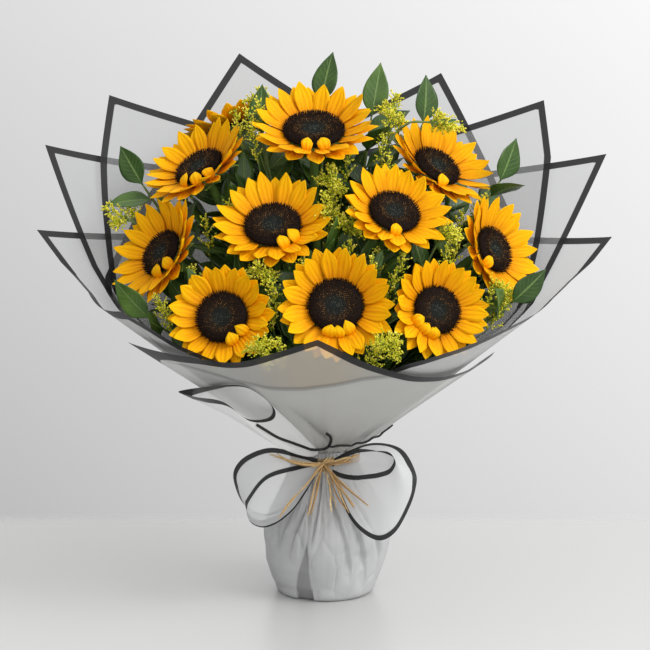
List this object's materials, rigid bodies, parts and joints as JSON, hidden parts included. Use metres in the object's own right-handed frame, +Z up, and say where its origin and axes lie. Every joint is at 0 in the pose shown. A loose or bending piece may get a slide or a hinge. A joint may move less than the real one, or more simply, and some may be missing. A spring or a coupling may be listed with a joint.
{
  "type": "bunch of sunflowers",
  "caption": "Hand-tied bunch of sunflowers with dark glossy leaves and goldenrod, wrapped in frosted black-edged film over a gathered film foot.",
  "frame": {"origin": "centre of the underside of the gathered foot", "axes": "+Z up along the tied stems, -Y towards the front with the bow, +X to the viewer's right"},
  "size_m": [0.5692, 0.418, 0.5331],
  "materials": {
    "stem": "matte fresh green stem",
    "disc": "velvety brown-black florets",
    "petal": "satin golden-yellow petal",
    "leaf": "glossy dark green leaf",
    "goldenrod": "matte yellow florets",
    "film": "frosted translucent film with a black edge",
    "foot_film": "frosted whitish-grey film, gathered",
    "water": "clear",
    "raffia": "matte fibrous raffia"
  },
  "bodies": {
    "root": {"stem_01": "stem", "stem_02": "stem", "stem_03": "stem", "stem_04": "stem", "stem_05": "stem", "stem_06": "stem", "stem_07": "stem", "stem_08": "stem", "stem_09": "stem", "stem_10": "stem", "stem_11": "stem", "disc_01": "disc", "disc_02": "disc", "disc_03": "disc", "disc_04": "disc", "disc_05": "disc", "disc_06": "disc", "disc_07": "disc", "disc_08": "disc", "disc_09": "disc", "disc_10": "disc", "disc_11": "disc", "petals_01": "petal", "petals_02": "petal", "petals_03": "petal", "petals_04": "petal", "petals_05": "petal", "petals_06": "petal", "petals_07": "petal", "petals_08": "petal", "petals_09": "petal", "petals_10": "petal", "petals_11": "petal", "leafy_stem_01": "leaf", "leafy_stem_02": "leaf", "leafy_stem_03": "leaf", "leafy_stem_04": "leaf", "leafy_stem_05": "leaf", "leafy_stem_06": "leaf", "leafy_stem_07": "leaf", "leafy_stem_08": "leaf", "leafy_stem_09": "leaf", "goldenrod_01": "goldenrod", "goldenrod_02": "goldenrod", "goldenrod_03": "goldenrod", "goldenrod_04": "goldenrod", "goldenrod_05": "goldenrod", "goldenrod_06": "goldenrod", "wrap_back_left": "film", "wrap_back_right": "film", "wrap_left": "film", "wrap_right": "film", "wrap_front": "film", "wrap_cornet": "film", "bow_left": "film", "bow_right": "film", "foot_wrap": "foot_film", "water_pouch": "water", "raffia_tie": "raffia"}
  },
  "joints": []
}
